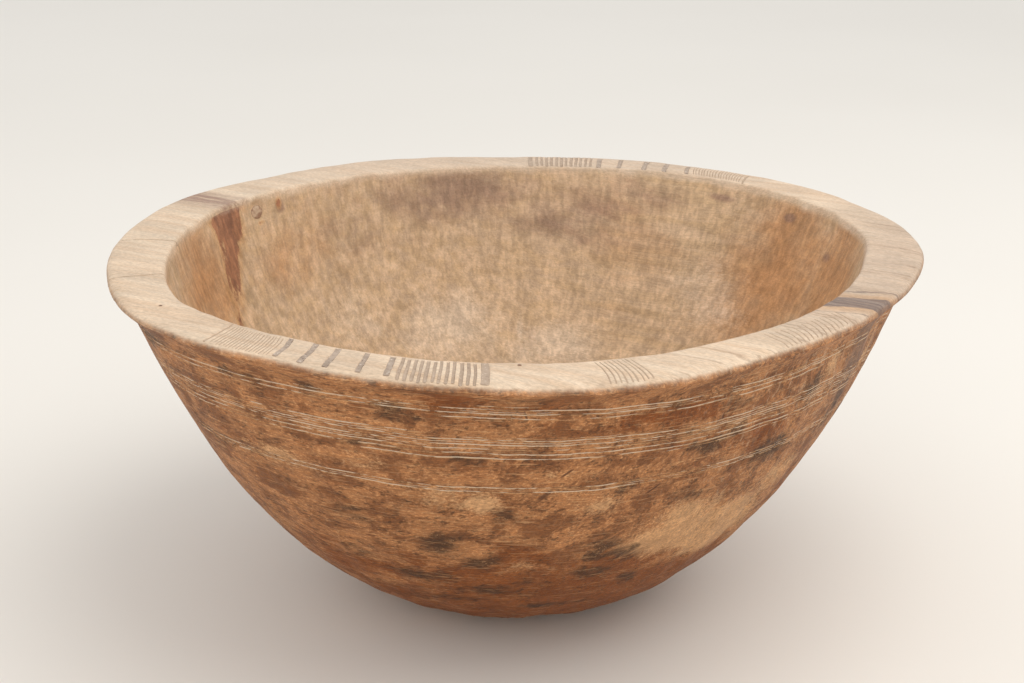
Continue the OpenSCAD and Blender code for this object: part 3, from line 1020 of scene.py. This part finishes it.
def rim_colour(p, g):
    p.colour = p.mix(p.step(g.long, 0.2, 0.8), RIM_TAN, RIM_PALE)
    grey = p.times(p.step(g.x, 0.09, 0.19), p.step(g.y, -0.09, 0.0))
    p.over(RIM_GREY_AND_SHADE, grey, 0.7)
    away = p.size(g.side)
    halo = p.times(p.step(away, 0.019, 0.010), g.far_right)
    p.over(HEART_EDGE, halo, 0.55)
    # The streak narrows towards the hollow
    narrowed = p.plus(away, p.step(g.x, 0.185, 0.165, 0.0, 0.003))
    heart = p.times(p.step(narrowed, HEART_HALF + 0.0006, HEART_HALF - 0.0006), g.far_right)
    lined = p.mix(p.step(p.noise((14, 500, 500), 4, 0.6), 0.42, 0.60), HEART, HEART_LIGHT)
    p.over(lined, heart, 0.92)
    for place, half, first, share in HEART_LINES:
        line = p.step(p.size(p.minus(g.side, place)), half, half * 0.4)
        line = p.times(line, p.step(g.x, first, first + 0.015))
        p.over(HEART, line, share)
    vein = p.times(p.step(p.noise((9, 420, 420), 3, 0.5), 0.56, 0.66), p.step(g.x, 0.11, 0.17))
    p.over(RIM_VEIN, vein, 0.45)
    # The same heartwood shows as smoky veins on the left rim
    smoky = p.plus(p.size(p.plus(g.y, 0.006)), g.ragged)
    smoky = p.times(p.step(smoky, 0.018, 0.006), p.step(g.x, -0.05, -0.12))
    smoky = p.times(smoky, p.step(p.noise((14, 200, 200), 5, 0.6), 0.30, 0.56))
    p.over(RIM_SMOKE, smoky, 0.85)
    # The back of the rim is painted a little darker, as painted shade
    p.over(RIM_GREY_AND_SHADE, p.step(p.axes(0)[1], 0.10, 0.20, 0.0, 0.5))
    p.shade(g.fibre, 0.93, 1.05)
    p.shade(g.fine, 0.88, 1.08)
    p.shade(g.patch, 0.90, 1.06)
    return p.colour


def scar(p, start, end, half):
    """1 inside a straight cut of the front wall between two (x, z) places, in metres."""
    (x0, z0), (x1, z1) = start, end
    length = math.hypot(x1 - x0, z1 - z0)
    ux, uz = (x1 - x0) / length, (z1 - z0) / length
    x, y, z = p.axes(0)
    dx, dz = p.minus(x, x0), p.minus(z, z0)
    forward = p.plus(p.times(dx, ux), p.times(dz, uz))
    aside = p.size(p.minus(p.times(dx, uz), p.times(dz, ux)))
    inside = p.times(p.step(forward, -0.0005, 0.002), p.step(forward, length, length - 0.004))
    inside = p.times(inside, p.step(aside, half, half * 0.3))
    return p.times(inside, p.step(y, -0.05, -0.06))


def outside_colour(p, g, scars):
    mottle = p.noise((45, 80, 80), 10, 0.74, warp=0.4)
    blotch = p.noise((45, 100, 100), 10, 0.75, warp=0.8)
    crisp = p.noise((500, 900, 900), 4, 0.75)
    # Strokes of the gouge run down the wall, plainest on the right, as their facets' painted highlights and
    # painted shade
    stroke = p.noise((380, 380, 42), 6, 0.70, turn=0, warp=0.25)
    plain = p.step(p.axes(0)[0], 0.05, 0.12, 0.15, 1.0)
    p.colour = p.mix(p.step(mottle, 0.44, 0.56), GOLD, UMBER)
    ragged = ((g.broad, 0.8), (mottle, 1.5), (g.fibre, 0.4))
    warm = p.spread("warm", ragged, 0.15, 0.65)
    p.over(RED_BROWN, warm, 0.88)
    # Pale worn places, and painted bounce light low on the right
    worn = p.spread("pale", ((mottle, 1.8), (crisp, 0.8)), 0.3, 0.75)
    p.over(WORN_AND_PAINTED_LIGHT, worn, 0.75)
    p.over(STROKE_HIGHLIGHT, p.times(p.step(stroke, 0.55, 0.63), plain), 0.5)
    p.over(STROKE_SHADE, p.times(p.step(stroke, 0.45, 0.38), plain), 0.6)
    ragged = ((blotch, 2.6), (crisp, 1.0), (g.fibre, 0.3))
    soot = p.spread("dark", ragged, 0.30, 0.85)
    p.over(SOOT, soot, 0.82)
    # Dark freckles where it isn't worn, and pale glints, painted highlights, where it isn't red
    freckle = p.times(p.step(g.speck, 0.53, 0.61), p.step(blotch, 0.46, 0.56))
    p.over(SOOT, freckle, p.step(worn, 0.2, 0.9, 0.6, 0.15))
    glint = p.times(p.step(crisp, 0.55, 0.62), p.step(mottle, 0.56, 0.46))
    p.over(WORN_AND_PAINTED_LIGHT, glint, p.step(warm, 0.3, 1.0, 0.4, 0.1))
    p.shade(g.fibre, 0.84, 1.16, 0.14)
    p.shade(crisp, 0.84, 1.15, 0.12)
    p.shade(g.long, 0.86, 1.10)
    # The heart streak runs on a little way down the wall
    heart = p.times(p.step(p.size(g.side), 0.014, 0.006), g.far_right)
    heart = p.times(heart, p.step(g.z, 0.120, 0.165))
    p.over(HEART_OUTSIDE, heart, 0.6)
    for turn, scale in SCRATCHES:
        scratch = p.noise(scale, 2, 0.5, turn=turn, warp=0.5)
        p.over(WORN_AND_PAINTED_LIGHT, p.step(scratch, 0.64, 0.68), 0.4)
    p.over(SCAR_CUT, scars, 0.85)
    # Chalky dust caught on the shoulders of the incised lines
    dusty = p.step(p.noise((260, 260, 260), 4, 0.7), 0.42, 0.54)
    dusty = p.times(p.step(p.attribute("groove"), 0.03, 0.22), dusty)
    p.over(WORN_AND_PAINTED_LIGHT, dusty, 0.55)
    return p.colour


def hollow_colour(p, g):
    p.colour = p.mix(p.step(g.long, 0.35, 0.65), BEIGE, TAN)
    warm = p.spread("warm", ((g.broad, 0.9), (g.patch, 0.8)), 0.1, 0.95)
    p.over(HOLLOW_BROWN, warm, 0.85)
    ragged = ((g.patch, 1.3), (g.broad, 0.5), (g.fibre, 0.5))
    dark = p.spread("dark", ragged, 0.25, 1.0)
    p.over(HOLLOW_DARK, dark, 0.75)
    haze = p.spread("pale", ((g.patch, 1.2), (g.fibre, 0.6)), 0.3, 0.95)
    p.over(HAZE, haze, 0.65)
    stain = p.stray(p.noise((130, 130, 40), 5, 0.7, turn=0), 26)
    stain = p.plus(p.attribute("stain"), stain)
    p.over(STAIN_GLOW, p.step(stain, -7, 0), 0.5)
    patchy = p.step(p.noise((160, 160, 30), 4, 0.65, turn=0), 0.4, 0.6)
    inner = p.mix(patchy, STAIN, STAIN_LIGHT)
    p.over(inner, p.step(stain, -1.0, 2.0), 0.9)
    for scale, detail, rough, warp, low, high, reach in HOLLOW_SHADES:
        mark = p.noise(scale, detail, rough, turn=0, warp=warp)
        p.shade(mark, low, high, reach)
    p.shade(g.fibre, 0.95, 1.05)
    p.shade(g.fine, 0.92, 1.06)
    return p.colour


def carved_wood():
    """The bowl's own wood: edge and mouth are mm inward of the rim's two edges."""
    p = Paint("carved_wood")
    g = Grain(p)
    scars = 0.0
    for start, end, half in SCARS:
        scars = p.maths("MAXIMUM", scars, scar(p, start, end, half))
    edge_noise = p.stray(p.noise((320, 320, 320), 6, 0.7), 1.4)
    # Bare wood reaches a little further down the outside of the lip at both ends
    bare = p.times(p.step(p.size(p.axes(0)[0]), 0.13, 0.19), 0.6)
    edge = p.plus(p.plus(p.attribute("edge"), edge_noise), bare)
    mouth = p.plus(p.attribute("mouth"), p.stray(g.patch, 8))
    inside = p.mix(p.step(mouth, 1.5, -3.5), rim_colour(p, g), hollow_colour(p, g))
    p.colour = p.mix(p.step(edge, 1.8, -0.3), inside, outside_colour(p, g, scars))
    # The incised lines and notches are painted darker by their depth: painted shade in the cuts, with the
    # darker brown of the cut wood
    groove = p.attribute("groove")
    cut = p.mix(p.step(p.attribute("edge"), -0.5, 0.5), LINE_CUT_AND_SHADE, NOTCH_CUT_AND_SHADE)
    p.over(cut, p.step(groove, 0.35, 0.9, 0.0, 0.6))
    # The two drying checks are painted darker than any notch, as painted shade in the cracks
    p.over(CHECK_SHADE, p.step(groove, 1.05, 1.7))
    rough = p.step(g.fibre, 0.3, 0.7, 0.52, 0.72)
    height = p.plus(p.times(g.fibre, 0.6), p.times(g.fine, 0.4))
    height = p.plus(height, p.times(g.patch, 0.9))
    height = p.minus(height, p.times(scars, 0.8))
    p.shader.inputs["Specular IOR Level"].default_value = 0.28
    return p.finish(rough, height, 0.4)


def grey_fill():
    p = Paint("grey_fill")
    dust = p.noise((500, 500, 500), 5, 0.65)
    patch = p.noise((90, 90, 90), 3, 0.5)
    p.colour = p.mix(p.step(patch, 0.35, 0.65), FILL_GREY, FILL_BROWN)
    p.over(FILL_PALE, p.step(dust, 0.56, 0.68))
    p.over(FILL_DARK, p.step(dust, 0.44, 0.34))
    p.over(FILL_FILM, p.attribute("thin"))
    return p.finish(0.85, dust, 0.25)


def pale_residue():
    p = Paint("pale_residue")
    crumb = p.noise((900, 900, 900), 4, 0.65)
    patch = p.noise((140, 140, 140), 3, 0.55)
    p.colour = p.mix(p.step(patch, 0.35, 0.65), CHALK, CHALK_PALE)
    p.over(CHALK_DIRTY, p.step(crumb, 0.55, 0.75))
    return p.finish(0.9, crumb, 0.25)


def knot_wood():
    """Knots, with dark bark at their outline, where the attribute reach is 1."""
    p = Paint("knot_wood")
    rough_ring = p.noise((500, 500, 500), 4, 0.6)
    uneven = p.plus(p.attribute("reach"), p.stray(rough_ring, 0.7))
    cloud = p.noise((260, 260, 420), 4, 0.6)
    p.colour = p.mix(p.step(cloud, 0.38, 0.62), KNOT_BROWN, KNOT_PALE)
    p.over(KNOT_BARK, p.step(uneven, 0.80, 1.06))
    return p.finish(0.75, rough_ring, 0.4)


def floor_paint():
    p = Paint("pale_floor")
    tone = p.noise((1.5, 1.5, 1.5), 2, 0.5)
    p.colour = p.mix(p.step(tone, 0.3, 0.7), FLOOR_A, FLOOR_B)
    return p.finish(0.7, p.noise((300, 300, 300), 3, 0.5), 0.05)


# -------- pieces
wood, fill_paint, chalk_paint, knot_paint = carved_wood(), grey_fill(), pale_residue(), knot_wood()
all_notches = rim_notches(np.random.default_rng(7))
body_points, body_faces, body_facts = carve(all_notches)
new_piece("carved_bowl", body_points, body_faces, wood, "bowl_body", body_facts, 50)

for fill_node in sorted({n.node for n in all_notches if n.node}):
    fill = Solid()
    for one in all_notches:
        if one.node == fill_node:
            notch_fill(fill, one)
    thin = [share for word, share in THIN_FILLS if word in fill_node] + [0.0]
    fill.facts["thin"] = np.full(fill.count, thin[0])
    fill.piece(fill_node.replace("_fill", "_matter"), fill_paint, fill_node, "grey_fill")

for residue_node in sorted({line.node for line in LINES}):
    residue = Solid()
    for one in LINES:
        if one.node == residue_node:
            line_residue(residue, one)
    residue.piece(residue_node.replace("_fill_", "_residue_"), chalk_paint, residue_node, "pale_residue")

knot = Solid()
knot_plug(knot)
knot.piece("dead_knot_plug", knot_paint, "dead_knot", "knot_wood")
pins = Solid()
pin_knots(pins)
pins.piece("rim_pin_knot_plugs", knot_paint, "rim_pin_knots", "knot_wood")


# -------- floor, light and camera
FLOOR_REACH, FLOOR_Z = 6.0, -0.1 * MM
LIGHTS_AIM = Vector((0, 0, 0.1))
SKY_COLOUR, SKY_STRENGTH = (0.96, 0.98, 1.0, 1), 0.95
LENS, SENSOR = 61.5, 36
CAMERA_BACK, CAMERA_UP, CAMERA_DOWN_DEG = 0.8866, 0.2492, 18.77


def make_floor():
    a, z = FLOOR_REACH, FLOOR_Z
    mesh = bpy.data.meshes.new("studio_floor")
    mesh.from_pydata([(-a, -a, z), (a, -a, z), (a, a, z), (-a, a, z)], [], [(0, 1, 2, 3)])
    mesh.materials.append(floor_paint())
    put_in("studio_floor", mesh)


def make_light(name, place, size, power, colour):
    light = bpy.data.lights.new(name, "AREA")
    light.shape = "DISK"
    light.size = size
    light.energy = power
    light.color = colour
    lamp = put_in(name, light)
    lamp.location = place
    lamp.rotation_euler = (LIGHTS_AIM - Vector(place)).to_track_quat("-Z", "Y").to_euler()


def make_world():
    world = bpy.data.worlds.new("studio")
    bpy.context.scene.world = world
    world.use_nodes = True
    sky = world.node_tree.nodes["Background"]
    sky.inputs["Color"].default_value = SKY_COLOUR
    sky.inputs["Strength"].default_value = SKY_STRENGTH


def make_camera():
    camera = bpy.data.cameras.new("camera")
    camera.lens = LENS
    camera.sensor_width = SENSOR
    eye = put_in("camera", camera)
    eye.location = (0, -CAMERA_BACK, BOWL_H + CAMERA_UP)
    eye.rotation_euler = (math.radians(90 - CAMERA_DOWN_DEG), 0, 0)
    bpy.context.scene.camera = eye


make_floor()
make_world()
make_light("key", (0.7, -0.2, 1.6), 1.8, 13, (1.0, 0.98, 0.95))
make_light("fill", (-0.6, -1.8, 1.0), 1.6, 6, (1.0, 0.97, 0.94))
make_camera()
bpy.context.scene.view_settings.view_transform = "Standard"
